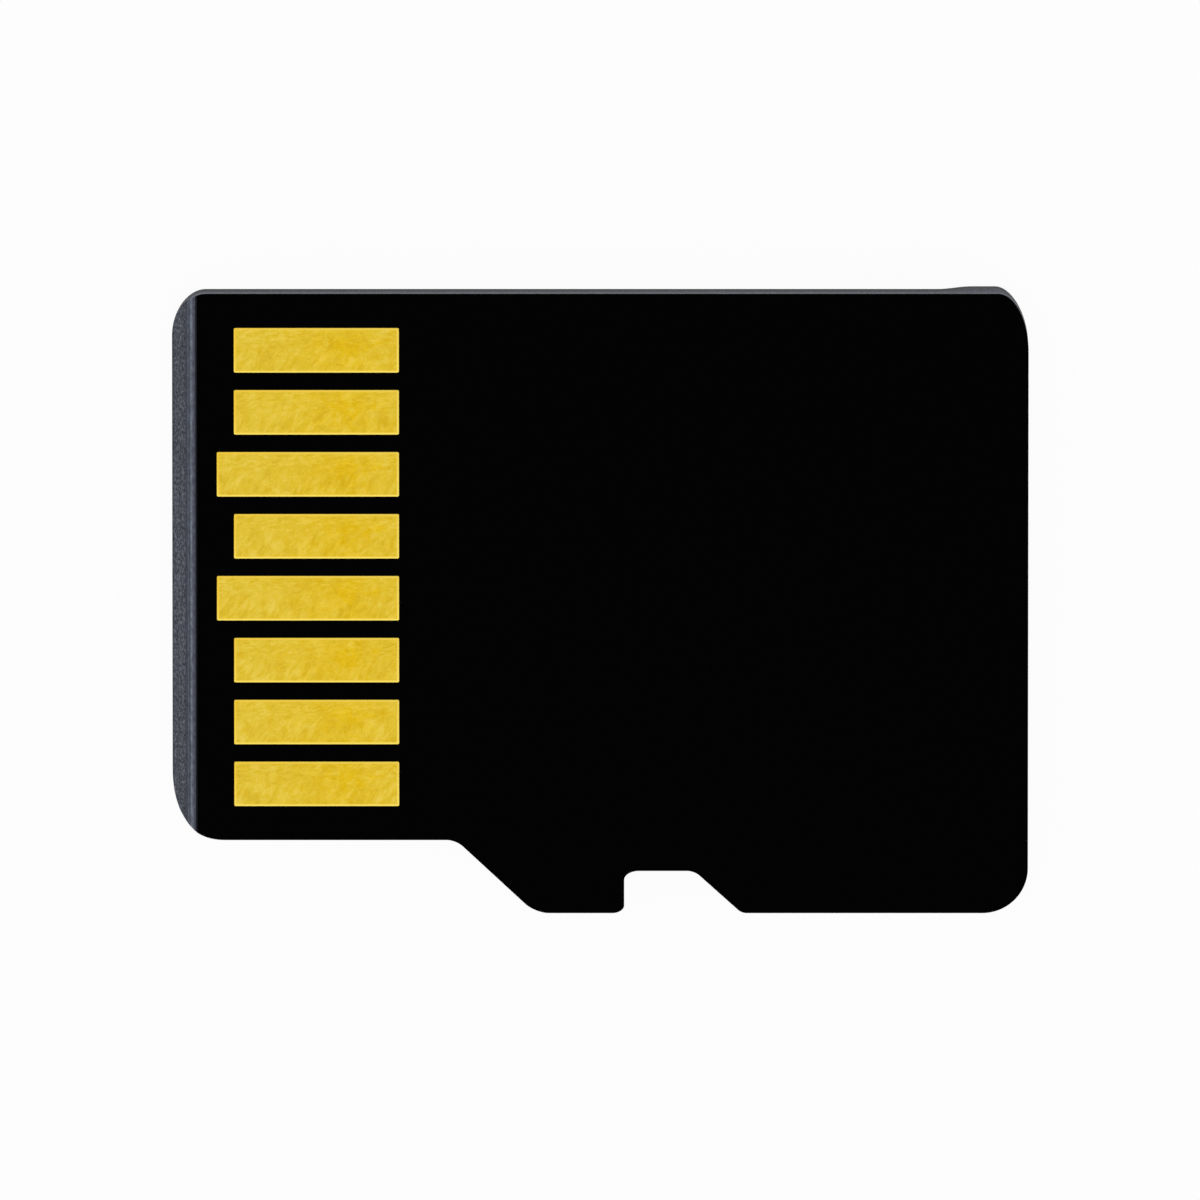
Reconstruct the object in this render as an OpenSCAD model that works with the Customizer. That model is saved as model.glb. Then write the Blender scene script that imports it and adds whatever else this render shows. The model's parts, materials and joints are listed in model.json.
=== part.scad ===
// MicroSD memory card: a black moulding over a thin laminate board. The board carries eight gold
// contacts outside and a controller, stacked memory dies, capacitors and bond wires inside.
// X runs from the contact end to the thumb ridge, Y from the stepped side to the straight side, and
// Z from the label side up to the contacts. The origin is under the middle of the card, level with
// the thumb ridge.

/* [Card] */
// Length from the contact edge to the back edge
card_l = 15; // [14.5:0.1:16]
// Full width, at the back
card_w = 11; // [10.8:0.1:12]
// Thickness from the contact face to the label face
body_t = 0.7; // [0.65:0.05:0.9]
// Width that the step takes off the contact end
step_depth = 1.3; // [1:0.05:1.4]
// Distance from the contact edge to the start of the step's slope
step_start = 4.97; // [4.6:0.01:5.1]
// Length of the step's slope along the card
step_run = 1.39; // [1.2:0.01:1.5]
// Width of the bevel along the contact edge
bevel = 0.44; // [0.2:0.01:0.5]
// Rounding of the edges on the label side
label_round = 0.15; // [0.05:0.01:0.18]

/* [Notch] */
// Distance from the contact edge to the notch's upright wall
notch_start = 7.92; // [7.8:0.02:8.2]
// Depth of the notch
notch_depth = 0.75; // [0.6:0.05:0.8]
// Length of the notch's flat floor, sharp corner to sharp corner
notch_floor = 1.23; // [1.1:0.01:1.4]
// Length of the notch's sloped wall along the card
notch_run = 0.83; // [0.7:0.01:1]

/* [Corners] */
// Contact edge to straight side, along the card
straight_corner_x = 0.59; // [0.3:0.01:1]
// Contact edge to straight side, across the card
straight_corner_y = 0.81; // [0.3:0.01:1]
// Contact edge to stepped side, along the card
stepped_corner_x = 0.93; // [0.3:0.01:1.1]
// Contact edge to stepped side, across the card
stepped_corner_y = 1.05; // [0.3:0.01:1.1]
// Back edge to stepped side, along both edges
back_corner = 0.8; // [0.3:0.05:1]
// Back edge to straight side, along the card
thumb_corner_x = 0.5; // [0.3:0.01:1]
// Back edge to straight side, across the card
thumb_corner_y = 1.1; // [0.3:0.01:1.2]
// Rounding at the foot of the step's slope, along each edge
step_foot = 0.16; // [0.05:0.01:0.3]
// Rounding at the head of the step's slope, along each edge
step_head = 0.24; // [0.05:0.01:0.3]
// Rounding of the notch's lip, along the card
lip_round_x = 0.21; // [0.05:0.01:0.3]
// Rounding of the notch's lip, along its upright wall
lip_round_y = 0.14; // [0.05:0.01:0.25]
// Rounding between the notch's upright wall and its floor, along the floor
notch_round_x = 0.26; // [0.05:0.01:0.3]
// Rounding between the notch's upright wall and its floor, along the wall
notch_round_y = 0.16; // [0.05:0.01:0.25]
// Rounding at the foot of the notch's sloped wall, along each edge
slope_foot = 0.12; // [0.05:0.01:0.2]
// Rounding at the head of the notch's sloped wall, along each edge
slope_head = 0.08; // [0.03:0.01:0.15]

/* [Thumb ridge] */
// Height of the ridge above the label face
ridge_h = 0.3; // [0.15:0.05:0.4]
// Distance from the back edge to the middle of the ridge's ramp
ridge_back = 1.8; // [1.5:0.05:2.2]
// Length of the ramp up to the ridge
ridge_ramp = 0.6; // [0.3:0.05:0.8]
// Radius of the ridge's curved edge, seen from the label side
ridge_r = 30; // [20:1:60]

/* [Laminate board] */
// Thickness of the glass-cloth core
core_t = 0.14; // [0.1:0.01:0.16]
// Thickness of each solder mask
mask_t = 0.03; // [0.025:0.005:0.04]
// Thickness of the copper under the solder masks
copper_t = 0.015; // [0.01:0.001:0.018]

/* [Contacts] */
// Length of a signal contact
contact_l = 2.9; // [2.6:0.05:3]
// Width of a contact
contact_w = 0.8; // [0.6:0.05:0.9]
// Spacing of the contacts, centre to centre
contact_pitch = 1.1; // [1:0.05:1.15]
// Distance from the contact edge to a signal contact
contact_front = 1.08; // [0.95:0.01:1.2]
// Extra length of the two supply contacts, towards the contact edge
supply_extra = 0.3; // [0.1:0.05:0.35]
// Rounding of a contact's corners
contact_round = 0.03; // [0.02:0.01:0.1]
// Width of the sloped rim round a contact
contact_rim = 0.02; // [0.01:0.002:0.022]
// Depth of a contact's face below the solder mask
contact_recess = 0.003; // [0.001:0.001:0.004]

/* [Leads] */
// Width of a copper lead
lead_w = 0.08; // [0.06:0.01:0.1]
// Diameter of a filled via
via_d = 0.12; // [0.1:0.01:0.15]
// Diameter of the copper land round a via
land_d = 0.26; // [0.22:0.01:0.3]
// Distance from a contact's end to its via's centre
via_offset = 0.2; // [0.18:0.01:0.22]
// Length of a bond finger
finger_l = 0.22; // [0.18:0.01:0.26]
// Width of a bond finger
finger_w = 0.12; // [0.1:0.01:0.15]
// Gap between a die and the bond fingers beside it
finger_gap = 0.3; // [0.2:0.01:0.35]
// Spacing of the contact leads' bond fingers
finger_pitch = 0.62; // [0.5:0.01:0.65]
// Spacing of the two bus leads that pass between neighbouring vias
bus_pitch = 0.28; // [0.22:0.01:0.32]

/* [Controller] */
// Distance from the contact edge to the controller
controller_front = 1.35; // [1.25:0.05:1.45]
// Length of the controller along the card
controller_l = 1.8; // [1.4:0.05:1.85]
// Width of the controller across the card
controller_w = 5; // [4.8:0.05:5.4]
// Thickness of the controller
controller_t = 0.1; // [0.08:0.01:0.12]

/* [Memory] */
// Length of a memory die along the card
die_l = 8.2; // [7:0.1:8.6]
// Width of a memory die across the card
die_w = 8.6; // [7:0.1:8.8]
// Thickness of a memory die
die_t = 0.05; // [0.04:0.005:0.06]
// Thickness of each adhesive film
film_t = 0.01; // [0.005:0.001:0.012]
// Shift of each memory die from the one before it
die_step = 0.3; // [0.28:0.01:0.34]
// Distance from the straight side to the memory dies
die_side = 0.85; // [0.6:0.05:1]

/* [Capacitors] */
// Length of a chip capacitor
capacitor_l = 0.6; // [0.55:0.05:0.7]
// Width and height of a chip capacitor
capacitor_w = 0.3; // [0.2:0.05:0.35]
// Length of a capacitor's metal end
capacitor_end = 0.15; // [0.1:0.01:0.2]
// Thickness of a capacitor's metal end
capacitor_cap_t = 0.01; // [0.005:0.001:0.015]
// Distance from the contact edge to the first pair of capacitors
capacitor_front = 1.2; // [1.1:0.05:1.4]
// Spacing of the two pairs of capacitors along the card
capacitor_pitch = 1; // [0.8:0.05:1.1]
// Distance from each long side to the capacitors
capacitor_side = 0.6; // [0.5:0.05:0.7]

/* [Bond wires] */
// Thickness of a bond wire
wire_d = 0.025; // [0.015:0.001:0.03]
// Length of the flat bond at each end of a wire
wire_foot = 0.05; // [0.04:0.005:0.06]
// Distance from a die's edge to its bonds
bond_inset = 0.08; // [0.07:0.005:0.09]
// Rise of a wire between a finger and a die
wire_rise = 0.08; // [0.07:0.005:0.1]
// Rise of a wire between one memory die and the next
hop_rise = 0.05; // [0.045:0.005:0.06]

/* [Hidden] */
contact_names = ["data_2", "card_detect", "command", "supply", "clock", "ground", "data_0", "data_1"];
supply_contacts = [3, 5];
contact_count = len(contact_names);
die_count = 4;
capacitor_count = 4;
bus_gaps = [1 : contact_count - 3];
bus_sides = [-1, 1];

// Overrun of a cutting shape past the face that it cuts
over = 0.1;
// Reach of the rounded band round the body past its rounding, into the body's middle, and how far
// outside the end of the rounding that middle starts, so that their walls cross
band_lap = 0.1;
band_seam = 0.02;
// Least length of a rounding and least spacing of points, where the rounded band is tight
least_round = 0.01;
// Steps in a rounded corner, in the ridge's ramp, in the label side's edge and in a bond wire's arch
corner_steps = 12;
ramp_steps = 8;
edge_steps = 5;
arch_steps = 6;
$fn = 48;

// Heights of the layers, from the label side up
label_z = ridge_h;
face_z = label_z + body_t;
core_top_z = face_z - mask_t;
core_low_z = core_top_z - core_t;
board_z = core_low_z - mask_t;

// Edges of the card
front_x = -card_l / 2;
back_x = card_l / 2;
straight_y = card_w / 2;
wide_y = -card_w / 2;
narrow_y = wide_y + step_depth;

// Centre of the ridge's curved edge
ridge_x = back_x - ridge_back + ridge_r;

// The contact row is centred on the narrow contact end
row_y = (straight_y + narrow_y) / 2;
contact_end_x = front_x + contact_front + contact_l;
via_x = contact_end_x + via_offset;

// Places of the controller, the memory dies and the fingers beside them
controller_x = front_x + controller_front;
controller_end_x = controller_x + controller_l;
contact_finger_x = controller_x - finger_gap - finger_l;
bus_finger_x = controller_end_x + finger_gap;
memory_finger_x = via_x + via_offset;
memory_x = memory_finger_x + finger_l + finger_gap;
memory_y = straight_y - die_side - die_w;
controller_z = board_z - film_t - controller_t;

function contact_y(i) = row_y + (i - (contact_count - 1) / 2) * contact_pitch;
function finger_y(i) = row_y + (i - (contact_count - 1) / 2) * finger_pitch;
function is_supply(i) = len(search(i, supply_contacts)) > 0;
function contact_x(i) = front_x + contact_front - (is_supply(i) ? supply_extra : 0);
function bus_ys() = [for (i = bus_gaps, side = bus_sides)
    (contact_y(i) + contact_y(i + 1)) / 2 + side * bus_pitch / 2];
function memory_die_x(i) = memory_x + i * die_step;
function memory_die_z(i) = board_z - (i + 1) * (film_t + die_t);

// Direction from one point to another, and the direction square to it on the left
function toward(p, q) = (q - p) / norm(q - p);
function across(p, q) = let (d = toward(p, q)) [-d[1], d[0]];

// The card's sharp corners, anticlockwise from the contact edge's straight side, each with its
// rounding lengths along the edge before it and the edge after it
outline_corners = [
    [[front_x, straight_y], straight_corner_x, straight_corner_y],
    [[front_x, narrow_y], stepped_corner_y, stepped_corner_x],
    [[front_x + step_start, narrow_y], step_foot, step_foot],
    [[front_x + step_start + step_run, wide_y], step_head, step_head],
    [[front_x + notch_start, wide_y], lip_round_x, lip_round_y],
    [[front_x + notch_start, wide_y + notch_depth], notch_round_y, notch_round_x],
    [[front_x + notch_start + notch_floor, wide_y + notch_depth], slope_foot, slope_foot],
    [[front_x + notch_start + notch_floor + notch_run, wide_y], slope_head, slope_head],
    [[back_x, wide_y], back_corner, back_corner],
    [[back_x, straight_y], thumb_corner_y, thumb_corner_x]
];
back_wide_index = 8;

// A rounded corner v between p and q, moved inwards by inset: a quarter ellipse that meets the edges
// at the distances a and b from the corner. Moving inwards takes inset times the tangent of half the
// corner's turn off both, or adds it where the corner turns the other way.
function corner(p, v, q, a, b, inset) = let (
        in_before = across(p, v),
        in_after = across(v, q),
        shorter = inset * (in_before * toward(v, q)) / (1 + in_before * in_after),
        tip = v + inset * (in_before + in_after) / (1 + in_before * in_after)
    ) [for (i = [0 : corner_steps])
        let (t = 90 * i / corner_steps)
        tip
            + toward(v, p) * max(a - shorter, least_round) * (1 - sin(t))
            + toward(v, q) * max(b - shorter, least_round) * (1 - cos(t))];
function outline_corner(i, inset) = let (c = outline_corners, n = len(c))
    corner(c[(i + n - 1) % n][0], c[i][0], c[(i + 1) % n][0], c[i][1], c[i][2], inset);
function outline(inset) = [for (i = [0 : len(outline_corners) - 1], p = outline_corner(i, inset)) p];

// The ridge's ramp rises smoothly over its length, measured from the centre of the curved edge
function ramp_r(i) = ridge_r + ridge_ramp * (i / ramp_steps - 0.5);
function ramp_z(i) = ridge_h * (1 - cos(180 * i / ramp_steps)) / 2;
function label_side_z(p) = let (i = ramp_steps * ((norm(p - [ridge_x, 0]) - ridge_r) / ridge_ramp + 0.5))
    ramp_z(min(max(i, 0), ramp_steps));

// The outline with added points where the ramp's steps cross the two long sides, short of the
// rounded corner that starts or ends at the point p
function ramp_crossing(i, p) = let (x = ridge_x - sqrt(ramp_r(i) * ramp_r(i) - p[1] * p[1]))
    [min(x, p[0] - least_round * (i + 1)), p[1]];
function banded_outline(inset) = let (
        wide_corner = outline_corner(back_wide_index, inset),
        straight_corner = outline_corner(back_wide_index + 1, inset)
    ) concat(
        [for (i = [0 : back_wide_index - 1], p = outline_corner(i, inset)) p],
        [for (i = [ramp_steps : -1 : 0]) ramp_crossing(i, wide_corner[0])],
        wide_corner,
        straight_corner,
        [for (i = [0 : ramp_steps]) ramp_crossing(i, straight_corner[corner_steps])]
    );

module card_plate(low_z, high_z, inset = 0) {
    translate([0, 0, low_z])
        linear_extrude(height = high_z - low_z)
            polygon(outline(inset));
}

// The band of moulding round the card: an upright wall that rolls into the label side and follows
// its rise to the ridge. A section of it is carried along the outline.
module rounded_band() {
    low_rows = concat(
        [for (i = [0 : edge_steps])
            let (t = 90 * i / edge_steps)
            [label_round * (1 - cos(t)), label_round * (1 - sin(t))]],
        [[label_round + band_lap, band_lap]]
    );
    rows = concat(
        [[for (p = banded_outline(0)) [p[0], p[1], board_z]]],
        [for (row = low_rows) [for (p = banded_outline(row[0])) [p[0], p[1], label_side_z(p) + row[1]]]],
        [[for (p = banded_outline(label_round + band_lap)) [p[0], p[1], board_z]]]
    );
    m = len(rows);
    n = len(rows[0]);
    polyhedron(
        points = [for (row = rows, p = row) p],
        faces = [for (j = [0 : m - 1], k = [0 : n - 1])
            let (
                a = j * n + k,
                b = j * n + (k + 1) % n,
                c = (j + 1) % m * n + k,
                d = (j + 1) % m * n + (k + 1) % n
            )
            each [[a, b, d], [a, d, c]]]
    );
}

// The wedge that the bevel takes off the contact edge
module bevel_wedge() {
    translate([0, straight_y + over, 0])
        rotate([90, 0, 0])
            linear_extrude(height = card_w + 2 * over)
                polygon([
                    [front_x - over, face_z - bevel - over],
                    [front_x + bevel + over, face_z + over],
                    [front_x - over, face_z + over]
                ]);
}

module bevelled_plate(low_z, high_z) {
    difference() {
        card_plate(low_z, high_z);
        bevel_wedge();
    }
}

// The slab of the body with the thumb ridge under its back end, both wider than the card. The
// ridge's ramp is a smooth rise turned about the centre of its curved edge.
module ridged_slab() {
    translate([front_x - over, wide_y - over, label_z])
        cube([card_l + 2 * over, card_w + 2 * over, board_z - label_z]);
    translate([ridge_x, 0, 0])
        rotate_extrude($fn = 360)
            polygon(concat(
                [for (i = [0 : ramp_steps]) [ramp_r(i), ramp_z(i)]],
                [
                    [ridge_r + ridge_ramp / 2, board_z],
                    [ridge_r - ridge_back - over, board_z],
                    [ridge_r - ridge_back - over, 0]
                ]
            ));
}

module mould_body() {
    color([0.30, 0.31, 0.34])
        difference() {
            union() {
                intersection() {
                    card_plate(0, board_z, label_round - band_seam);
                    ridged_slab();
                }
                rounded_band();
            }
            bevel_wedge();
            controller_film();
            controller_die();
            for (i = [0 : die_count - 1]) {
                memory_film(i);
                memory_die(i);
            }
            for (i = [0 : capacitor_count - 1])
                capacitor(i);
            contact_bond_wires();
            bus_bond_wires();
            memory_bond_wires();
        }
}

module inner_solder_mask() {
    color([0.16, 0.17, 0.19])
        difference() {
            bevelled_plate(board_z, core_low_z);
            for (i = [0 : contact_count - 1])
                inner_copper(i);
            bus_leads();
            capacitor_lands();
        }
}

module laminate_core() {
    color([0.38, 0.41, 0.45])
        difference() {
            bevelled_plate(core_low_z, core_top_z);
            for (i = [0 : contact_count - 1])
                via(i, over);
        }
}

module outer_solder_mask() {
    color([0.02, 0.02, 0.02])
        difference() {
            bevelled_plate(core_top_z, face_z);
            for (i = [0 : contact_count - 1]) {
                contact_outline(i, core_top_z - over, face_z + over);
                outer_copper(i);
            }
        }
}

// A contact's plan shape with its rounded corners
module contact_outline(i, low_z, high_z) {
    x = contact_x(i);
    r = contact_round;
    translate([0, 0, low_z])
        linear_extrude(height = high_z - low_z)
            union() {
                translate([x + r, contact_y(i) - contact_w / 2])
                    square([contact_end_x - x - 2 * r, contact_w]);
                translate([x, contact_y(i) - contact_w / 2 + r])
                    square([contact_end_x - x, contact_w - 2 * r]);
                for (cx = [x + r, contact_end_x - r], side = [-1, 1])
                    translate([cx, contact_y(i) + side * (contact_w / 2 - r)])
                        circle(r);
            }
}

// The section of a contact from its underside to its sloped rim, along a stretch from a to b
function rim_section(a, b) = let (top = face_z - contact_recess, rim = contact_rim) [
    [a, core_top_z],
    [b, core_top_z],
    [b, top - rim],
    [b - rim, top],
    [a + rim, top],
    [a, top - rim]
];

module contact(i) {
    color([0.88, 0.75, 0.20])
        intersection() {
            contact_outline(i, core_top_z, face_z);
            translate([0, contact_y(i) + contact_w, 0])
                rotate([90, 0, 0])
                    linear_extrude(height = 2 * contact_w)
                        polygon(rim_section(contact_x(i), contact_end_x));
            translate([contact_x(i) - over, 0, 0])
                rotate([90, 0, 90])
                    linear_extrude(height = contact_end_x - contact_x(i) + 2 * over)
                        polygon(rim_section(contact_y(i) - contact_w / 2, contact_y(i) + contact_w / 2));
        }
}

// The sideways step, at point i of a track, to the edge of a track of half-width 1
function mitre(points, i) = let (
        before = across(points[max(i - 1, 0)], points[max(i, 1)]),
        after = across(points[min(i, len(points) - 2)], points[min(i + 1, len(points) - 1)])
    ) (before + after) / (1 + before * after);

// A flat copper track along a list of points, with mitred bends
module track(points, low_z, high_z) {
    last = len(points) - 1;
    left = [for (i = [0 : last]) points[i] + mitre(points, i) * lead_w / 2];
    right = [for (i = [last : -1 : 0]) points[i] - mitre(points, i) * lead_w / 2];
    translate([0, 0, low_z])
        linear_extrude(height = high_z - low_z)
            polygon(concat(left, right));
}

module land(i, low_z, high_z) {
    translate([via_x, contact_y(i), low_z])
        cylinder(d = land_d, h = high_z - low_z);
}

module via(i, overrun = 0) {
    translate([via_x, contact_y(i), core_low_z - overrun])
        cylinder(d = via_d, h = core_t + 2 * overrun);
}

// A bond finger, flush with the inner solder mask
module finger(x, y) {
    translate([x, y - finger_w / 2, board_z])
        cube([finger_l, finger_w, mask_t]);
}

module outer_copper(i) {
    track([[contact_end_x, contact_y(i)], [via_x, contact_y(i)]], core_top_z, core_top_z + copper_t);
    land(i, core_top_z, core_top_z + copper_t);
}

module inner_copper(i) {
    bend_x = bus_finger_x - lead_w;
    track(
        [
            [via_x, contact_y(i)],
            [bend_x, contact_y(i)],
            [controller_x, finger_y(i)],
            [contact_finger_x + finger_l / 2, finger_y(i)]
        ],
        core_low_z - copper_t, core_low_z
    );
    land(i, core_low_z - copper_t, core_low_z);
    finger(contact_finger_x, finger_y(i));
}

module lead(i) {
    color([0.72, 0.45, 0.20])
        union() {
            outer_copper(i);
            via(i);
            inner_copper(i);
        }
}

module bus_leads() {
    color([0.72, 0.45, 0.20])
        for (y = bus_ys())
            union() {
                track(
                    [[bus_finger_x, y], [memory_finger_x + finger_l, y]],
                    core_low_z - copper_t, core_low_z
                );
                finger(bus_finger_x, y);
                finger(memory_finger_x, y);
            }
}

module controller_film() {
    color([0.75, 0.70, 0.50])
        translate([controller_x, row_y - controller_w / 2, board_z - film_t])
            cube([controller_l, controller_w, film_t]);
}

module controller_die() {
    color([0.35, 0.36, 0.42])
        translate([controller_x, row_y - controller_w / 2, controller_z])
            cube([controller_l, controller_w, controller_t]);
}

module memory_film(i) {
    color([0.75, 0.70, 0.50])
        translate([memory_die_x(i), memory_y, memory_die_z(i) + die_t])
            cube([die_l, die_w, film_t]);
}

module memory_die(i) {
    color([0.42, 0.43, 0.50])
        translate([memory_die_x(i), memory_y, memory_die_z(i)])
            cube([die_l, die_w, die_t]);
}

// Capacitors lie along the card, two beside each end of the controller
function capacitor_x(i) = front_x + capacitor_front + (i % 2) * capacitor_pitch;
function capacitor_y(i) = i < 2
    ? narrow_y + capacitor_side
    : straight_y - capacitor_side - capacitor_w;

module capacitor(i) {
    inner_w = capacitor_w - 2 * capacitor_cap_t;
    translate([capacitor_x(i), capacitor_y(i), board_z - capacitor_w]) {
        color([0.62, 0.52, 0.42])
            translate([capacitor_end / 2, capacitor_cap_t, capacitor_cap_t])
                cube([capacitor_l - capacitor_end, inner_w, inner_w]);
        color([0.80, 0.80, 0.82])
            for (x = [0, capacitor_l - capacitor_end])
                translate([x, 0, 0])
                    cube([capacitor_end, capacitor_w, capacitor_w]);
    }
}

module capacitor_lands() {
    color([0.72, 0.45, 0.20])
        for (i = [0 : capacitor_count - 1], x = [0, capacitor_l - capacitor_end])
            translate([capacitor_x(i) + x, capacitor_y(i), board_z])
                cube([capacitor_end, capacitor_w, mask_t]);
}

// A bond wire at y, from a bond that ends at [xa, za] to one that starts at [xb, zb]. It leaves the
// board side in an arch, and each end lies flat on the surface that it is bonded to.
module bond_wire(y, xa, za, xb, zb, rise) {
    arch = [for (i = [0 : arch_steps])
        let (t = i / arch_steps)
        [xa + (xb - xa) * t, za + (zb - za) * t - rise * sin(180 * t)]];
    upper = concat([[xa - wire_foot, za]], arch, [[xb + wire_foot, zb]]);
    lower = [for (i = [len(upper) - 1 : -1 : 0]) upper[i] - [0, wire_d]];
    translate([0, y + wire_d / 2, 0])
        rotate([90, 0, 0])
            linear_extrude(height = wire_d)
                polygon(concat(upper, lower));
}

module contact_bond_wires() {
    color([0.95, 0.80, 0.35])
        for (i = [0 : contact_count - 1])
            bond_wire(
                finger_y(i),
                contact_finger_x + finger_l / 2, board_z,
                controller_x + bond_inset, controller_z,
                wire_rise
            );
}

module bus_bond_wires() {
    color([0.95, 0.80, 0.35])
        for (y = bus_ys())
            bond_wire(
                y,
                controller_end_x - bond_inset, controller_z,
                bus_finger_x + finger_l / 2, board_z,
                wire_rise
            );
}

module memory_bond_wires() {
    color([0.95, 0.80, 0.35])
        for (y = bus_ys()) {
            bond_wire(
                y,
                memory_finger_x + finger_l / 2, board_z,
                memory_die_x(0) + bond_inset, memory_die_z(0),
                wire_rise
            );
            for (i = [0 : die_count - 2])
                bond_wire(
                    y,
                    memory_die_x(i) + die_step - bond_inset, memory_die_z(i),
                    memory_die_x(i + 1) + bond_inset, memory_die_z(i + 1),
                    hop_rise
                );
        }
}

mould_body();
inner_solder_mask();
laminate_core();
outer_solder_mask();
for (i = [0 : contact_count - 1])
    contact(i);
for (i = [0 : contact_count - 1])
    lead(i);
bus_leads();
capacitor_lands();
for (i = [0 : capacitor_count - 1])
    capacitor(i);
controller_film();
controller_die();
for (i = [0 : die_count - 1])
    memory_film(i);
for (i = [0 : die_count - 1])
    memory_die(i);
contact_bond_wires();
bus_bond_wires();
memory_bond_wires();
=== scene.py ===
"""A small flash memory card, contact side up, on a pale floor under plain soft studio light.

Sizes are in millimetres, as on the maker's drawing, and meshes are in metres.
"""

import json
import math

import bmesh
import bpy
import numpy as np
from mathutils import Matrix, Vector
from mathutils.geometry import delaunay_2d_cdt


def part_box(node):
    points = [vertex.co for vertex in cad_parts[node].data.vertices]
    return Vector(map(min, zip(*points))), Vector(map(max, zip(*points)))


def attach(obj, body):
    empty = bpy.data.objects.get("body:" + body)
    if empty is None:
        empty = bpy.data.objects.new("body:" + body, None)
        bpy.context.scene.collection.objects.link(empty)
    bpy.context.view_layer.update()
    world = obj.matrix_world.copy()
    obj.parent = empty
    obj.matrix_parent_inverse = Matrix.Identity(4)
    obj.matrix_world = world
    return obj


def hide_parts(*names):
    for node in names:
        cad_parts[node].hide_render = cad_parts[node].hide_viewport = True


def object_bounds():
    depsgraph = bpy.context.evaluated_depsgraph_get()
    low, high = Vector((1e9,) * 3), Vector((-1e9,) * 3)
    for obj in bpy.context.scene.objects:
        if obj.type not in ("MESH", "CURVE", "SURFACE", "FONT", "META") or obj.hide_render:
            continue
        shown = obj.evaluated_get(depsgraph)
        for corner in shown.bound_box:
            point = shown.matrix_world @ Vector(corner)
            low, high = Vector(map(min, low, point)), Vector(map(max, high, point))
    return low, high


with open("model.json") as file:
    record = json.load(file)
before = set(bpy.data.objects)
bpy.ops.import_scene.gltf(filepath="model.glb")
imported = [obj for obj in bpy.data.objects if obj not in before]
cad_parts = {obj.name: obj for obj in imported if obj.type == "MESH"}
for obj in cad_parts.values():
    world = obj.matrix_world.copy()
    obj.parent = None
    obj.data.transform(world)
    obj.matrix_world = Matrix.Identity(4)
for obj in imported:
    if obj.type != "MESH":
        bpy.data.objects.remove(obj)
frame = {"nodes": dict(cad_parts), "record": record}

CARD_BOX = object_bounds()
MM = 0.001

# Heights of the card's layers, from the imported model
BOARD_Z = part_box("mould_body")[1][2] / MM
CORE_LOW_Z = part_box("laminate_core")[0][2] / MM
CORE_TOP_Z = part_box("laminate_core")[1][2] / MM
FACE_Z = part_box("outer_solder_mask")[1][2] / MM

# Edges of the card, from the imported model
FRONT_X = CARD_BOX[0][0] / MM
BACK_X = CARD_BOX[1][0] / MM
WIDE_Y = CARD_BOX[0][1] / MM
STRAIGHT_Y = CARD_BOX[1][1] / MM

# The step and the notch of the side, and the bevel of the contact edge
STEP_START, STEP_RUN, STEP_DEPTH = 4.97, 1.39, 1.3
NARROW_Y = WIDE_Y + STEP_DEPTH
NOTCH_START, NOTCH_DEPTH = 7.92, 0.75
NOTCH_FLOOR, NOTCH_RUN = 1.23, 0.83
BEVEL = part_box("outer_solder_mask")[0][0] / MM - FRONT_X + FACE_Z - CORE_TOP_Z
BEVEL_FOOT = FACE_Z - BEVEL

# The thumb ridge on the label side: its height, its reach from the back edge, the length of its
# rise, and the radius of its curved edge with that radius's centre
RIDGE_HEIGHT, RIDGE_BACK, RIDGE_RAMP, RIDGE_R = 0.3, 1.8, 0.6, 30.0
RIDGE_CENTRE_X = BACK_X - RIDGE_BACK + RIDGE_R

# Small edge roundings that a moulding and a coat of mask have
LABEL_EDGE = 0.15
MASK_EDGE = 0.012

# The card's sharp corners, anticlockwise, with the lengths of the rounding before and after each
# and its roundness: 2 is an ellipse, less is straighter
CORNERS = (
    ((FRONT_X, STRAIGHT_Y), 0.59, 0.81, 1.92),
    ((FRONT_X, NARROW_Y), 1.25, 0.95, 2.4),
    ((FRONT_X + STEP_START, NARROW_Y), 0.16, 0.16, 2.0),
    ((FRONT_X + STEP_START + STEP_RUN, WIDE_Y), 0.24, 0.24, 2.0),
    ((FRONT_X + NOTCH_START, WIDE_Y), 0.21, 0.14, 2.0),
    ((FRONT_X + NOTCH_START, WIDE_Y + NOTCH_DEPTH), 0.16, 0.26, 2.0),
    ((FRONT_X + NOTCH_START + NOTCH_FLOOR, WIDE_Y + NOTCH_DEPTH), 0.12, 0.12, 2.0),
    ((FRONT_X + NOTCH_START + NOTCH_FLOOR + NOTCH_RUN, WIDE_Y), 0.08, 0.08, 2.0),
    ((BACK_X, WIDE_Y), 0.8, 0.8, 2.0),
    ((BACK_X, STRAIGHT_Y), 1.03, 0.53, 1.97),
)
# The last corner is larger and straighter at the label side: its length after, and its roundness
THUMB_CORNER_LOW = (0.58, 1.85)
LEAST_ROUND = 0.004

# How finely the shapes are divided
CORNER_STEPS = 28
SIDE_SPACING = 0.06
LABEL_EDGE_RINGS, MOULDING_WALL_RINGS = 9, 9
RAMP_LINES, RAMP_LINE_POINTS = 15, 111
INNER_MASK_RINGS, LAMINATE_RINGS, MASK_EDGE_RINGS = 3, 6, 5
CONTACT_CORNER_STEPS, CONTACT_RIM_RINGS = 8, 7


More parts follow.
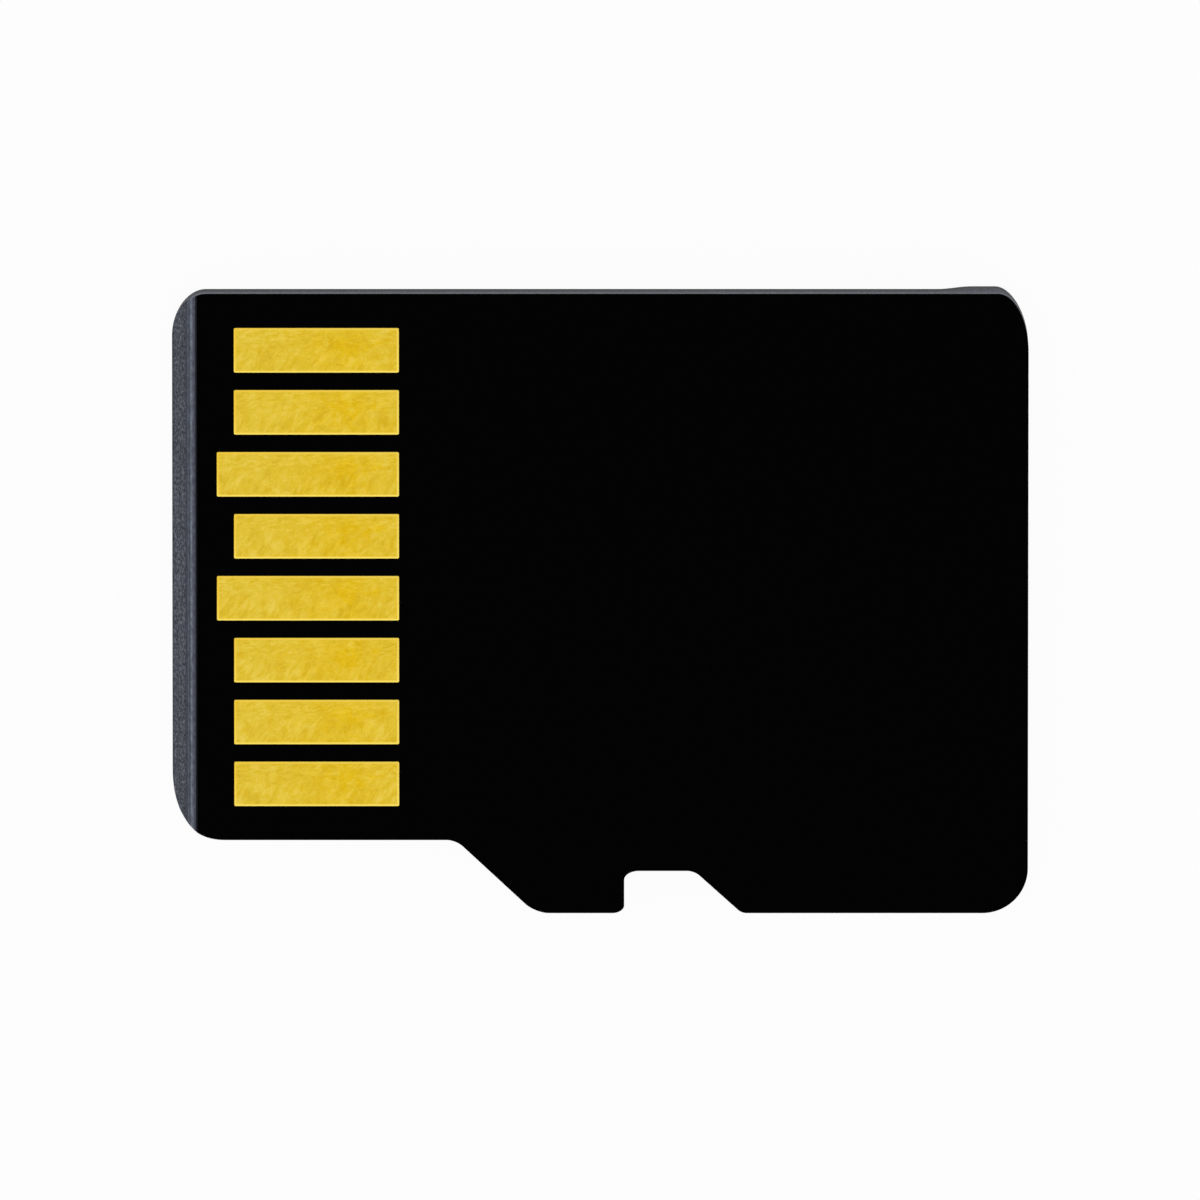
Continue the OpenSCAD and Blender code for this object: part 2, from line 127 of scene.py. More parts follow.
def outline(inset=0.0, low=0.0):
    """The card's plan outline, moved inwards by inset. Each corner is a quarter of a superellipse
    that meets its two sides at lengths that shrink by inset times the tangent of half the corner's
    turn. The last corner's length and roundness change evenly with low, 0 at the board to 1."""
    tips = np.array([c[0] for c in CORNERS])
    before = tips - np.roll(tips, 1, axis=0)
    before /= np.linalg.norm(before, axis=1)[:, None]
    after = np.roll(before, -1, axis=0)
    normal_in = np.stack([-before[:, 1], before[:, 0]], axis=1)
    normal_out = np.roll(normal_in, -1, axis=0)
    facing = 1.0 + (normal_in * normal_out).sum(axis=1)
    half_turn = (before[:, 0] * after[:, 1] - before[:, 1] * after[:, 0]) / facing
    tips_in = tips + inset * (normal_in + normal_out) / facing[:, None]
    t = np.linspace(0.0, math.pi / 2, CORNER_STEPS + 1)[:, None]
    arcs = []
    for k, (_, length_in, length_out, roundness) in enumerate(CORNERS):
        if k == len(CORNERS) - 1:
            length_out += low * (THUMB_CORNER_LOW[0] - length_out)
            roundness += low * (THUMB_CORNER_LOW[1] - roundness)
        a = max(length_in - inset * half_turn[k], LEAST_ROUND)
        b = max(length_out - inset * half_turn[k], LEAST_ROUND)
        rise, run = np.sin(t) ** (2 / roundness), np.cos(t) ** (2 / roundness)
        arcs.append(tips_in[k] - before[k] * a * (1 - rise) + after[k] * b * (1 - run))
    runs = []
    for k, arc in enumerate(arcs):
        following = arcs[(k + 1) % len(arcs)]
        gap = np.linalg.norm(tips[(k + 1) % len(tips)] - tips[k])
        s = np.linspace(0.0, 1.0, max(int(gap / SIDE_SPACING), 2) + 1)[1:-1, None]
        runs += [arc, arc[-1] + (following[0] - arc[-1]) * s]
    return np.concatenate(runs)


def bevel_x(z):
    """Where the bevel of the contact edge lies at height z: 45 degrees, up to the contact face."""
    return FRONT_X + np.maximum(z - BEVEL_FOOT, 0.0)


def ridge_base(x, y):
    """Height of the label side: a cosine rise from the thumb ridge to the label face, measured
    along the distance from the centre of the ridge's curved edge."""
    reach = np.hypot(x - RIDGE_CENTRE_X, y) - RIDGE_R
    s = np.clip(reach / RIDGE_RAMP + 0.5, 0.0, 1.0)
    return RIDGE_HEIGHT * (1 - np.cos(math.pi * s)) / 2


def at_height(plan, z):
    """Plan points at the height z, which is one for all or one for each."""
    return np.column_stack([plan, np.broadcast_to(z, len(plan))])


def ring(inset, z, low=0.0):
    """One closed ring of points: the outline at that inset, cut back to the bevel, at height z."""
    plan = outline(inset, low)
    plan[:, 0] = np.maximum(plan[:, 0], bevel_x(z) + inset)
    return at_height(plan, z)


def wall(rings):
    """The wall through stacked closed rings of the same length: its points, and quads that face
    outwards when the rings climb."""
    count = len(rings[0])
    i = np.arange(count)
    j = (i + 1) % count
    base = np.arange(len(rings) - 1)[:, None] * count
    quads = np.stack([base + i, base + j, base + count + j, base + count + i], axis=-1)
    return np.concatenate(rings), quads.reshape(-1, 4)


def fill(rim, holes=(), inner=()):
    """Triangles that fill a flat ring, around the holes and through the inner lines, seen from
    above: their plan points and their corners."""
    loops = [rim[:, :2]] + [np.asarray(h)[:, :2] for h in holes]
    points, edges = [], []
    for loop in loops:
        first = len(points)
        count = len(loop)
        points += [Vector(p) for p in loop]
        edges += [(first + i, first + (i + 1) % count) for i in range(count)]
    for line in inner:
        points += [Vector(p) for p in line]
    flat, _, faces, *_ = delaunay_2d_cdt(points, edges, [], 1, 1e-6)
    flat = np.array([tuple(p) for p in flat])
    faces = np.array([list(f) for f in faces])
    middle = flat[faces].mean(axis=1)
    keep = np.ones(len(faces), bool)
    for hole in loops[1:]:
        low, high = hole.min(axis=0), hole.max(axis=0)
        keep &= ~np.all((middle > low) & (middle < high), axis=1)
    return flat, faces[keep]


def joined(parts):
    """Several pairs of points and faces as one, the faces counting on from the points before."""
    points, faces, first = [], [], 0
    for part_points, part_faces in parts:
        points.append(part_points)
        faces += (part_faces + first).tolist()
        first += len(part_points)
    return np.concatenate(points), faces


def mesh_piece(name, points_mm, faces, sharp_deg=30.0):
    """A closed mesh from points in millimetres, its doubles merged, smooth but for sharp edges."""
    mesh = bpy.data.meshes.new(name)
    mesh.from_pydata((points_mm * MM).tolist(), [], faces)
    piece = bpy.data.objects.new(name, mesh)
    bpy.context.scene.collection.objects.link(piece)
    bm = bmesh.new()
    bm.from_mesh(mesh)
    bmesh.ops.remove_doubles(bm, verts=bm.verts, dist=2e-8)
    bmesh.ops.dissolve_degenerate(bm, edges=bm.edges, dist=1e-8)
    bmesh.ops.recalc_face_normals(bm, faces=bm.faces)
    bm.to_mesh(mesh)
    bm.free()
    mesh.polygons.foreach_set("use_smooth", [True] * len(mesh.polygons))
    mesh.set_sharp_from_angle(angle=math.radians(sharp_deg))
    return piece


def vertex_places(mesh):
    """Every vertex's place in millimetres."""
    at = np.empty(3 * len(mesh.vertices))
    mesh.vertices.foreach_get("co", at)
    return at.reshape(-1, 3) / MM


def layer(name, rings, holes=()):
    """A layer of the card's board: stacked rings from its underside to its top, closed by two flat
    fills, with upright walls round its holes."""
    low, high = rings[0][0, 2], rings[-1][0, 2]
    under, under_faces = fill(rings[0], holes)
    top, top_faces = fill(rings[-1], holes)
    parts = [
        wall(rings),
        (at_height(under, low), under_faces[:, ::-1]),
        (at_height(top, high), top_faces),
    ]
    for hole in holes:
        points, quads = wall([at_height(hole, low), at_height(hole, high)])
        parts.append((points, quads[:, ::-1]))
    return mesh_piece(name, *joined(parts))


def label_side_rings():
    """The rim of the moulding's label side: rings that roll through a quarter round from its flat
    into the wall, all raised by the ridge's rise."""
    rings = []
    for angle in np.linspace(math.pi / 2, 0.0, LABEL_EDGE_RINGS):
        plan = outline(LABEL_EDGE * (1 - math.cos(angle)), 1.0)
        rings.append(at_height(plan, ridge_base(*plan.T) + LABEL_EDGE * (1 - math.sin(angle))))
    return rings


def ramp_lines(rim):
    """Points along the ridge's ramp, inside the rim, so that the fill follows its rise: arcs about
    the centre of the ridge's curved edge, spread evenly over the ramp."""
    clearance = 0.03
    across = np.linspace(WIDE_Y, STRAIGHT_Y, RAMP_LINE_POINTS)
    inside = (across > rim[:, 1].min() + clearance) & (across < rim[:, 1].max() - clearance)
    lines = []
    for s in np.linspace(-0.5, 0.5, RAMP_LINES):
        r = RIDGE_R + RIDGE_RAMP * s
        x = RIDGE_CENTRE_X - np.sqrt(r * r - across * across)
        lines.append(np.column_stack([x, across])[inside])
    return lines


def make_moulding():
    """The black moulding: its label side, its walls and its flat top under the board. Its attribute
    is the height in millimetres above the label side there, and the board's on the ground bevel."""
    rings = label_side_rings() + [
        ring(0.0, z, (BOARD_Z - z) / (BOARD_Z - BEVEL_FOOT))
        for z in np.linspace(BEVEL_FOOT, BOARD_Z, MOULDING_WALL_RINGS)
    ]
    under, under_faces = fill(rings[0], inner=ramp_lines(rings[0]))
    top, top_faces = fill(rings[-1])
    piece = mesh_piece("moulding", *joined([
        wall(rings),
        (at_height(under, ridge_base(*under.T)), under_faces[:, ::-1]),
        (at_height(top, BOARD_Z), top_faces),
    ]))
    x, y, z = vertex_places(piece.data).T
    on_bevel = (z > BEVEL_FOOT + 1e-4) & (x < bevel_x(z) + 1e-3)
    above = piece.data.attributes.new("above_label_side", "FLOAT", "POINT")
    above.data.foreach_set("value", np.where(on_bevel, BOARD_Z, z - ridge_base(x, y)))
    return piece


CONTACT_NAMES = (
    "data_2", "card_detect", "command", "supply", "clock", "ground", "data_0", "data_1",
)
CONTACT_LENGTH = 2.9
CONTACT_ROUND = 0.03
# The plated rim rolls over this width while it drops this much
RIM_WIDTH, RIM_DROP = 0.026, 0.008
# The rim's painted highlight is full over the first of these widths and has faded out at the second
RIM_HIGHLIGHT_FULL, RIM_HIGHLIGHT_REACH = 0.026, 0.046


def contact_box(name):
    """A contact's lowest and highest corner in millimetres."""
    low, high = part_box("contact_" + name)
    return np.array(low) / MM, np.array(high) / MM


def contact_plan(name, inset=0.0):
    """A contact's plan outline, a rectangle with round corners, moved inwards by inset."""
    least_round = 0.002
    low, high = contact_box(name)
    turn = np.linspace(0.0, math.pi / 2, CONTACT_CORNER_STEPS + 1)
    r = max(CONTACT_ROUND - inset, least_round)
    reach = np.array([high[0] - low[0], high[1] - low[1]]) / 2 - inset - r
    middle = (low[:2] + high[:2]) / 2
    arcs = []
    for k, side in enumerate(((1, 1), (-1, 1), (-1, -1), (1, -1))):
        angle = turn + k * math.pi / 2
        arcs.append(middle + reach * side + r * np.column_stack([np.cos(angle), np.sin(angle)]))
    return np.concatenate(arcs)


def make_contact(name):
    """A gold contact: an upright wall, a rim rolled through a quarter ellipse and a flat face. Its
    map holds the distance in millimetres from its inner end and its lower side, and its attribute,
    for the painted rim highlight, how near a point of the rim is to the outer, inner, lower and
    upper side."""
    low, high = contact_box(name)
    rolled = [
        (RIM_WIDTH * (1 - math.cos(a)), high[2] - RIM_DROP * (1 - math.sin(a)))
        for a in np.linspace(0.0, math.pi / 2, CONTACT_RIM_RINGS)
    ]
    levels = [(0.0, CORE_TOP_Z), *rolled, (RIM_HIGHLIGHT_FULL, high[2]), (RIM_HIGHLIGHT_REACH, high[2])]
    rings = [at_height(contact_plan(name, inset), z) for inset, z in levels]
    points, quads = wall(rings)
    count = len(rings[0])
    underside = list(range(count))[::-1]
    face = list(range(len(points) - count, len(points)))
    faces = quads.tolist() + [underside, face]
    piece = mesh_piece("contact_pad_" + name, points, faces, sharp_deg=50.0)

    mesh = piece.data
    x, y, _ = vertex_places(mesh).T
    sides = np.stack([x - low[0], high[0] - x, y - low[1], high[1] - y], axis=1)
    # How much of the painted rim highlight each point takes, towards each side
    highlight_share = np.clip((RIM_HIGHLIGHT_REACH - sides) / (RIM_HIGHLIGHT_REACH - RIM_HIGHLIGHT_FULL), 0, 1)
    mesh.attributes.new("rim", "FLOAT_COLOR", "POINT").data.foreach_set("color", highlight_share.ravel())
    corner = np.empty(len(mesh.loops), int)
    mesh.loops.foreach_get("vertex_index", corner)
    mesh.uv_layers.new(name="face").data.foreach_set("uv", sides[corner][:, 1:3].ravel())
    return piece


# Materials


def srgb(r, g, b):
    """A colour given as it looks on screen, from 0 to 255, as linear light."""
    c = np.array([r, g, b]) / 255.0
    return tuple(float(v) for v in np.where(c <= 0.04045, c / 12.92, ((c + 0.055) / 1.055) ** 2.4))


class Nodes:
    """A node tree with short ways to add to it. A value is a socket or a plain number or colour."""

    def __init__(self, tree):
        self.nodes, self.links = tree.nodes, tree.links

    def feed(self, socket, value):
        """Joins the socket to the value's, or sets it on the socket."""
        if isinstance(value, bpy.types.NodeSocket):
            self.links.new(value, socket)
        elif socket.type == "RGBA":
            socket.default_value = (*value, 1.0)
        else:
            socket.default_value = value

    def add(self, kind, inputs=(), **settings):
        """A new node with its settings, and its inputs by name or number."""
        node = self.nodes.new("ShaderNode" + kind)
        for name, value in settings.items():
            setattr(node, name, value)
        for key, value in dict(inputs).items():
            self.feed(node.inputs[key], value)
        return node

    def maths(self, operation, *values):
        """The result of one Math node."""
        return self.add("Math", enumerate(values), operation=operation).outputs[0]

    def between(self, value, start, end):
        """0 at start and before, 1 at end and after, even in between."""
        inputs = {"Value": value, "From Min": start, "From Max": end}
        return self.add("MapRange", inputs).outputs["Result"]

    def seen_directly(self):
        """1 for a ray from the camera, or one that a shiny or clear surface sends on."""
        path = self.add("LightPath")
        value = path.outputs["Is Camera Ray"]
        for name in ("Is Glossy Ray", "Is Transmission Ray"):
            value = self.maths("MAXIMUM", value, path.outputs[name])
        return value


class Finish(Nodes):
    """A material with its Principled shader, and the place on the card in millimetres."""

    def __init__(self, name):
        self.material = bpy.data.materials.new(name)
        self.material.use_nodes = True
        super().__init__(self.material.node_tree)
        self.shader = self.nodes["Principled BSDF"]
        inputs = {"Vector": self.add("TexCoord").outputs["Object"], "Scale": (1 / MM,) * 3}
        self.at = self.add("Mapping", inputs).outputs["Vector"]

    def apart(self, vector):
        """The X, Y and Z of a vector."""
        return self.add("SeparateXYZ", {"Vector": vector}).outputs

    def stretched(self, scale, turn_deg=0.0):
        """The place, turned about Z and stretched, for streaks."""
        inputs = {
            "Vector": self.at,
            "Rotation": (0.0, 0.0, math.radians(turn_deg)),
            "Scale": [1 / s for s in scale],
        }
        return self.add("Mapping", inputs, vector_type="TEXTURE").outputs["Vector"]

    def noise(self, vector, scale, detail=2.0, roughness=0.5, distortion=0.0):
        inputs = {
            "Vector": vector,
            "Scale": scale,
            "Detail": detail,
            "Roughness": roughness,
            "Distortion": distortion,
        }
        return self.add("TexNoise", inputs).outputs["Fac"]

    def ramp(self, value, *stops):
        """The colour that the stops give to the value. Each stop is a place and a colour."""
        node = self.add("ValToRGB", {"Fac": value})
        elements = node.color_ramp.elements
        while len(elements) < len(stops):
            elements.new(0.5)
        for element, (place, colour) in zip(elements, stops):
            element.position = place
            element.color = (*colour, 1.0)
        return node.outputs["Color"]

    def blend(self, factor, first, second, how="MIX"):
        """Two colours mixed."""
        inputs = {0: factor, 6: first, 7: second}
        return self.add("Mix", inputs, data_type="RGBA", blend_type=how).outputs[2]

    def tinted(self, colour, tint):
        """A colour multiplied by another."""
        return self.blend(1.0, colour, tint, "MULTIPLY")

    def surface(self, colour, roughness, specular=0.5, metallic=0.0):
        """Sets the shader's colour and gloss."""
        self.feed(self.shader.inputs["Base Color"], colour)
        self.feed(self.shader.inputs["Roughness"], roughness)
        self.feed(self.shader.inputs["Specular IOR Level"], specular)
        self.feed(self.shader.inputs["Metallic"], metallic)

    def relief(self, height, depth_mm, strength):
        """Bump of a real depth in millimetres."""
        inputs = {"Strength": strength, "Distance": depth_mm * MM, "Height": height}
        self.feed(self.shader.inputs["Normal"], self.add("Bump", inputs).outputs["Normal"])


def moulding_finish():
    """Grey-black epoxy. Its cut walls and bevel show pale filler grains and faint lengthwise
    grinding lines, darker next to the board and along the bevel's foot. The label side, the
    rolled edge next to it and the lowest part of the wall take the darker, finely etched skin of
    the mould; on that lowest part of the wall the darker colour is also painted shade, standing
    for the card's contact shadow on the floor."""
    epoxy = Finish("epoxy_moulding")
    grains = epoxy.noise(epoxy.stretched((1.0, 0.65, 1.0)), 30.0, 3.0, 0.6)
    patches = epoxy.noise(epoxy.at, 4.0)
    lines = epoxy.noise(epoxy.stretched((0.4, 0.4, 14.0)), 1.0)
    cut = epoxy.ramp(
        grains,
        (0.34, srgb(44, 46, 54)),
        (0.5, srgb(73, 75, 84)),
        (0.68, srgb(110, 113, 124)),
    )
    tint = epoxy.ramp(patches, (0.3, (0.93, 0.95, 0.92)), (0.7, (1.05, 1.03, 1.06)))
    ground = epoxy.ramp(lines, (0.36, (0.84, 0.84, 0.85)), (0.64, (1.14, 1.14, 1.15)))
    cut = epoxy.tinted(epoxy.tinted(cut, tint), ground)
    level = epoxy.apart(epoxy.at)["Z"]
    for pale, dark in (
        (BOARD_Z - 0.035, BOARD_Z - 0.01),
        (BEVEL_FOOT + 0.05, BEVEL_FOOT + 0.015),
    ):
        share = epoxy.between(level, pale, dark)
        cut = epoxy.blend(share, cut, epoxy.tinted(cut, (0.72, 0.72, 0.75)))

    # Painted shade: up to these heights above the label side the wall takes the mould's darker
    # skin, which also stands for the shade next to the floor
    skin_shade_starts, skin_shade_full = 0.44, 0.31
    etched = epoxy.noise(epoxy.at, 38.0, 2.0, 0.7)
    skin_and_shade = epoxy.ramp(etched, (0.35, srgb(38, 38, 41)), (0.65, srgb(54, 54, 58)))
    height = epoxy.add("Attribute", attribute_name="above_label_side").outputs["Fac"]
    skin_and_shade_share = epoxy.between(height, skin_shade_starts, skin_shade_full)
    epoxy.surface(epoxy.blend(skin_and_shade_share, cut, skin_and_shade), roughness=0.62, specular=0.14)
    epoxy.relief(grains, depth_mm=0.003, strength=0.5)
    return epoxy.material


def laminate_finish():
    """Sawn glass-cloth board: bands through its thickness, with paler glass bundles along them."""
    cloth = Finish("glass_cloth_laminate")
    level = cloth.between(cloth.apart(cloth.at)["Z"], CORE_LOW_Z, CORE_TOP_Z)
    bands = cloth.ramp(
        level,
        (0.0, srgb(76, 80, 92)),
        (0.12, srgb(72, 78, 90)),
        (0.22, srgb(50, 56, 67)),
        (0.34, srgb(72, 78, 90)),
        (0.46, srgb(104, 112, 124)),
        (0.60, srgb(84, 88, 102)),
        (0.78, srgb(62, 66, 78)),
        (1.0, srgb(52, 54, 65)),
    )
    bundles = cloth.noise(cloth.stretched((9.0, 9.0, 18.0)), 1.0, 3.0, 0.6)
    tint = cloth.ramp(
        bundles,
        (0.34, (0.60, 0.60, 0.63)),
        (0.5, (1.0, 1.0, 1.0)),
        (0.66, (1.42, 1.48, 1.44)),
    )
    cloth.surface(cloth.tinted(bands, tint), roughness=0.55, specular=0.3)
    cloth.relief(bundles, depth_mm=0.004, strength=0.5)
    return cloth.material


def mask_finish(name, colour, specular, roughness, cut=None):
    """A coat of dark solder mask with a faint orange-peel surface. Where cut is given, the coat's
    ground and sawn edge below the face is that much paler colour."""
    coat = Finish(name)
    darker, lighter = (tuple(share * c for c in colour) for share in (0.8, 1.25))
    peel = coat.noise(coat.at, 9.0, 3.0)
    shade = coat.ramp(peel, (0.35, darker), (0.65, lighter))
    if cut:
        edge = coat.between(coat.apart(coat.at)["Z"], FACE_Z - 0.001, FACE_Z - MASK_EDGE)
        shade = coat.blend(edge, shade, cut)
    coat.surface(shade, roughness, specular)
    coat.relief(peel, depth_mm=0.002, strength=0.3)
    return coat.material


def gold_finish():
    """Satin gold plate: fine ripples on the upper half of a contact, slanting streaks on the lower
    half, a paler outer end, and two warmer patches towards the inner end. The rim carries a
    painted highlight: orange at the outer end, paler at the inner end and along the two sides."""
    gold = Finish("gold_plate")
    face = gold.apart(gold.add("UVMap", uv_map="face").outputs["UV"])
    along, up = face["X"], face["Y"]

    ripples = gold.noise(gold.stretched((6.0, 17.0, 1.0), turn_deg=8.0), 1.0, 3.0, 0.6, 0.8)
    streaks = gold.noise(gold.stretched((9.0, 3.6, 1.0), turn_deg=-34.0), 1.0, 3.0, 0.6, 0.8)
    rolled = gold.add("Mix", {0: gold.between(up, 0.3, 0.6), 2: streaks, 3: ripples}).outputs[0]
    clouds = gold.noise(gold.at, 3.6, 4.0, 0.6, 0.4)
    grit = gold.noise(gold.at, 24.0, 2.0, 0.6)
    shade = gold.maths("MULTIPLY_ADD", rolled, 0.5, gold.maths("MULTIPLY", clouds, 0.3))
    shade = gold.maths("MULTIPLY_ADD", grit, 0.2, shade)
    plating = gold.ramp(
        shade,
        (0.39, srgb(214, 178, 38)),
        (0.5, srgb(225, 192, 51)),
        (0.61, srgb(234, 203, 74)),
    )

    # Warmth, from 0 to 1: by a noise, by the place along the contact, and in leaning oval patches
    hue = gold.noise(gold.at, 7.0, 3.0, 0.6, 0.5)
    warmths = ((0.0, 0.3), (0.12, 0.3), (0.27, 0.6), (0.45, 0.5), (0.65, 0.25), (0.85, 0.08))
    by_length = gold.ramp(
        gold.maths("DIVIDE", along, CONTACT_LENGTH),
        *((place, (warmth,) * 3) for place, warmth in warmths),
    )
    by_length = gold.maths("SUBTRACT", by_length, 0.25)
    warm = gold.maths("MULTIPLY_ADD", gold.between(hue, 0.35, 0.65), 0.5, by_length)
    for middle_x, middle_y, reach_x, reach_y, lean, strength in (
        (0.92, 0.47, 0.26, 0.15, 0.0, 0.75),
        (0.42, 0.52, 0.16, 0.05, 0.25, 0.7),
    ):
        across = gold.maths("SUBTRACT", along, middle_x)
        off_x = gold.maths("DIVIDE", across, reach_x)
        off_y = gold.maths("MULTIPLY_ADD", across, lean, gold.maths("SUBTRACT", up, middle_y))
        off_y = gold.maths("DIVIDE", off_y, reach_y)
        spread = gold.maths("MULTIPLY_ADD", off_x, off_x, gold.maths("MULTIPLY", off_y, off_y))
        patch = gold.maths("EXPONENT", gold.maths("MULTIPLY", spread, -1.0))
        patch = gold.maths("MULTIPLY", patch, gold.between(hue, 0.3, 0.6))
        warm = gold.maths("MULTIPLY_ADD", patch, strength, warm)
    pale, orange = gold.tinted(plating, (1.0, 1.02, 1.3)), gold.tinted(plating, (1.0, 0.94, 0.38))
    plating = gold.blend(warm, pale, orange)

    # Painted highlight: each side of the rim gets its own bright colour laid over the plating
    rim = gold.add("Attribute", attribute_name="rim").outputs
    highlight_share = gold.add("SeparateColor", {"Color": rim["Color"]}).outputs
    for side, colour, share in (
        (highlight_share["Red"], srgb(252, 198, 42), 1.0),
        (highlight_share["Green"], srgb(250, 222, 106), 1.0),
        (highlight_share["Blue"], srgb(254, 226, 100), 1.0),
        (rim["Alpha"], srgb(236, 202, 74), 0.8),
    ):
        plating = gold.blend(gold.maths("MULTIPLY", side, share), plating, colour)
    gold.surface(plating, roughness=0.34, metallic=1.0)
    gold.relief(shade, depth_mm=0.006, strength=0.5)
    return gold.material


def plain_finish(name, darkest, palest, scale, metallic, roughness, depth_mm):
    """A finish with a soft change of shade between two colours, and a little relief."""
    plain = Finish(name)
    shade = plain.noise(plain.at, scale, 3.0)
    plain.surface(plain.ramp(shade, (0.35, darkest), (0.65, palest)), roughness, metallic=metallic)
    plain.relief(shade, depth_mm, strength=0.4)
    return plain.material


def capacitor_finish():
    """A chip capacitor: tinned ends and a tan ceramic middle, told apart by the place along the
    card."""
    end_length = 0.15
    (start, *_), (end, *_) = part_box("capacitor_1")
    pitch = (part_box("capacitor_2")[0][0] - start) / MM
    half_length = (end - start) / MM / 2

    chip = Finish("chip_capacitor")
    place = chip.maths("SUBTRACT", chip.apart(chip.at)["X"], start / MM)
    place = chip.maths("SUBTRACT", chip.maths("FLOORED_MODULO", place, pitch), half_length)
    tinned = chip.maths("GREATER_THAN", chip.maths("ABSOLUTE", place), half_length - end_length)
    grain = chip.noise(chip.at, 12.0)
    ceramic = chip.ramp(grain, (0.3, srgb(150, 118, 88)), (0.7, srgb(186, 150, 116)))
    colour = chip.blend(tinned, ceramic, srgb(205, 205, 208))
    chip.surface(colour, roughness=0.4, metallic=tinned)
    return chip.material


def give(material, *pieces):
    for piece in pieces:
        if piece.data.materials:
            piece.material_slots[0].material = material
        else:
            piece.data.materials.append(material)


# The card


def place(piece, slot, *nodes):
    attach(piece, "root")
    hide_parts(*nodes)
    return piece


moulding = place(make_moulding(), "moulding", "mould_body")
inner_mask_rings = [ring(0.0, z) for z in np.linspace(BOARD_Z, CORE_LOW_Z, INNER_MASK_RINGS)]
inner_mask = place(layer("inner_mask_layer", inner_mask_rings), "inner_mask", "inner_solder_mask")
laminate_rings = [ring(0.0, z) for z in np.linspace(CORE_LOW_Z, CORE_TOP_Z, LAMINATE_RINGS)]
laminate = place(layer("laminate_layer", laminate_rings), "laminate", "laminate_core")
outer_mask_rings = [ring(0.0, CORE_TOP_Z)] + [
    ring(MASK_EDGE * (1 - math.cos(a)), FACE_Z - MASK_EDGE * (1 - math.sin(a)))
    for a in np.linspace(0.0, math.pi / 2, MASK_EDGE_RINGS)
]
windows = [contact_plan(name) for name in CONTACT_NAMES]
outer_mask = place(
    layer("outer_mask_layer", outer_mask_rings, windows), "outer_mask", "outer_solder_mask")
contacts = [place(make_contact(name), "gold_contact", "contact_" + name) for name in CONTACT_NAMES]

MASK_BLACK, MASK_CUT_EDGE = (0.0004, 0.0004, 0.0005), srgb(31, 32, 39)
give(moulding_finish(), moulding)
give(laminate_finish(), laminate)
give(mask_finish(
    "inner_solder_mask_coat", srgb(58, 61, 74), specular=0.2, roughness=0.6), inner_mask)
give(mask_finish(
    "outer_solder_mask_coat", MASK_BLACK, specular=0.008, roughness=0.5, cut=MASK_CUT_EDGE),
    outer_mask)
give(gold_finish(), *contacts)

inner_finishes = {
    "copper": plain_finish(
        "etched_copper", srgb(196, 116, 78), srgb(222, 146, 104),
        scale=8.0, metallic=1.0, roughness=0.35, depth_mm=0.002),
    "bond_wire": plain_finish(
        "bright_gold_wire", srgb(240, 196, 92), srgb(250, 214, 120),
        scale=20.0, metallic=1.0, roughness=0.2, depth_mm=0.001),
    "silicon": plain_finish(
        "polished_silicon", srgb(118, 120, 130), srgb(140, 142, 154),
        scale=1.2, metallic=0.6, roughness=0.15, depth_mm=0.0005),
    "adhesive_film": plain_finish(
        "amber_film", srgb(182, 150, 88), srgb(204, 176, 112),
        scale=3.0, metallic=0.0, roughness=0.5, depth_mm=0.001),
    "capacitor": capacitor_finish(),
}
for subpart in frame["record"]["subparts"]:
    finish = inner_finishes.get(subpart["material_slot"])
    if finish:
        give(finish, frame["nodes"][subpart["node"]])


# Floor, light and camera


def make_floor():
    """A pale floor on which the card lies: it shows as white, and keeps the card's soft shadow."""
    half, level = 0.5, -0.002 * MM
    grey, roughness, white_share = 0.75, 0.9, 0.95
    corners = [(x * half, y * half, level) for x, y in ((-1, -1), (1, -1), (1, 1), (-1, 1))]
    mesh = bpy.data.meshes.new("studio_floor")
    mesh.from_pydata(corners, [], [(0, 1, 2, 3)])
    floor = bpy.data.objects.new("studio_floor", mesh)
    bpy.context.scene.collection.objects.link(floor)

    material = bpy.data.materials.new("studio_floor_paint")
    material.use_nodes = True
    paint = Nodes(material.node_tree)
    matt = paint.nodes["Principled BSDF"]
    paint.feed(matt.inputs["Base Color"], (grey,) * 3)
    paint.feed(matt.inputs["Roughness"], roughness)
    paint.feed(matt.inputs["Specular IOR Level"], 0.0)
    share = paint.maths("MULTIPLY", paint.seen_directly(), white_share)
    glow = paint.add("Emission")
    both = paint.add("MixShader", {0: share, 1: matt.outputs[0], 2: glow.outputs[0]})
    paint.feed(paint.nodes["Material Output"].inputs["Surface"], both.outputs[0])
    give(material, floor)


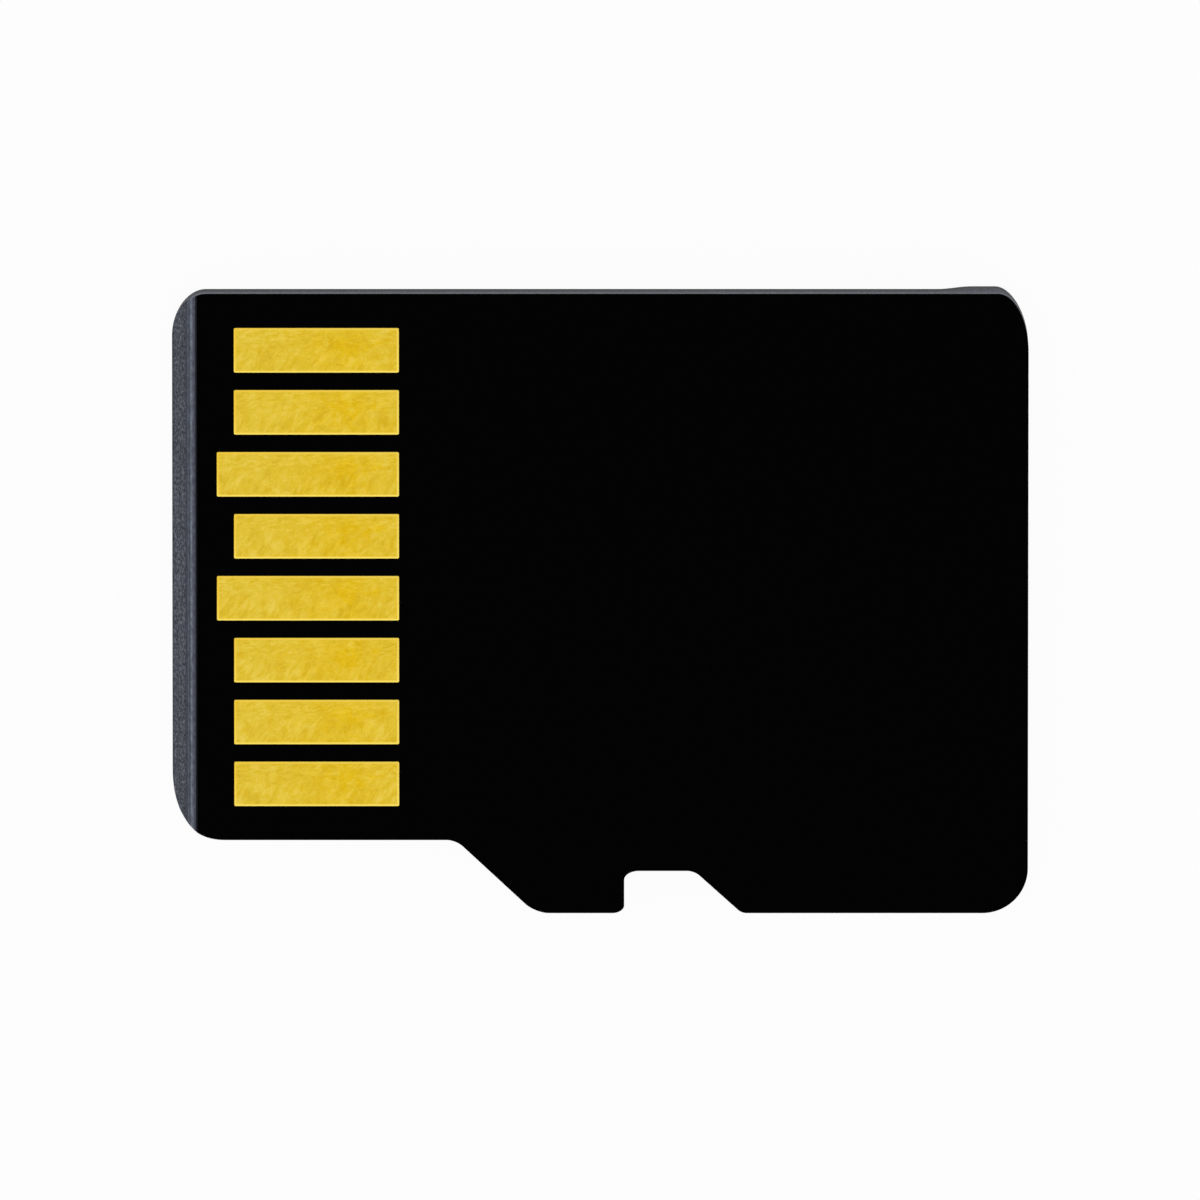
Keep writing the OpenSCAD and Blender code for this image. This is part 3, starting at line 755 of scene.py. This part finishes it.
def make_world():
    """Soft white light from all round, over a white background."""
    world = bpy.data.worlds.new("studio")
    bpy.context.scene.world = world
    world.use_nodes = True
    room = Nodes(world.node_tree)
    room.nodes.clear()
    light, white = (
        room.add("Background", {"Color": (1.0, 1.0, 1.0), "Strength": strength})
        for strength in (0.62, 1.0)
    )
    both = room.add(
        "MixShader", {0: room.seen_directly(), 1: light.outputs[0], 2: white.outputs[0]})
    room.add("OutputWorld", {"Surface": both.outputs[0]})


def soft_lamp(name, place_m):
    """A square lamp facing the card; its power follows from the brightness of its face. The metal
    reflects the white room alone, so that it doesn't clip where a lamp would mirror in it."""
    size_m, radiance = 0.16, 1.2
    lamp = bpy.data.lights.new(name, "AREA")
    lamp.size = size_m
    lamp.energy = radiance * math.pi * size_m * size_m
    held = bpy.data.objects.new(name, lamp)
    held.location = place_m
    held.rotation_euler = (-Vector(place_m)).to_track_quat("-Z", "Y").to_euler()
    held.visible_glossy = False
    bpy.context.scene.collection.objects.link(held)


def make_camera():
    """A very long lens, tilted from the contact face towards the straight side, that side at the
    top of the picture. The card's length takes up its share of a 1200-pixel frame."""
    tilt = math.radians(9.5)
    lens, sensor = 1400.0, 36.0
    pixels, pixels_per_mm = 1200.0, 57.04
    aim = Vector((-0.004, -0.013, 0.5)) * MM
    distance = pixels / pixels_per_mm * MM * lens / sensor
    data = bpy.data.cameras.new("camera")
    data.lens, data.sensor_width = lens, sensor
    data.clip_start, data.clip_end = 0.01, 10.0
    camera = bpy.data.objects.new("camera", data)
    right = Vector((1, 0, 0))
    up = Vector((0, math.cos(tilt), -math.sin(tilt)))
    back = right.cross(up)
    turn = Matrix((right, up, back)).transposed().to_4x4()
    camera.matrix_world = Matrix.Translation(aim + back * distance) @ turn
    bpy.context.scene.collection.objects.link(camera)
    bpy.context.scene.camera = camera


make_floor()
make_world()
soft_lamp("lamp_near_stepped_side", (0.05, -0.14, 0.11))
soft_lamp("lamp_near_contact_edge", (-0.17, 0.03, 0.11))
make_camera()
bpy.context.scene.view_settings.view_transform = "Standard"
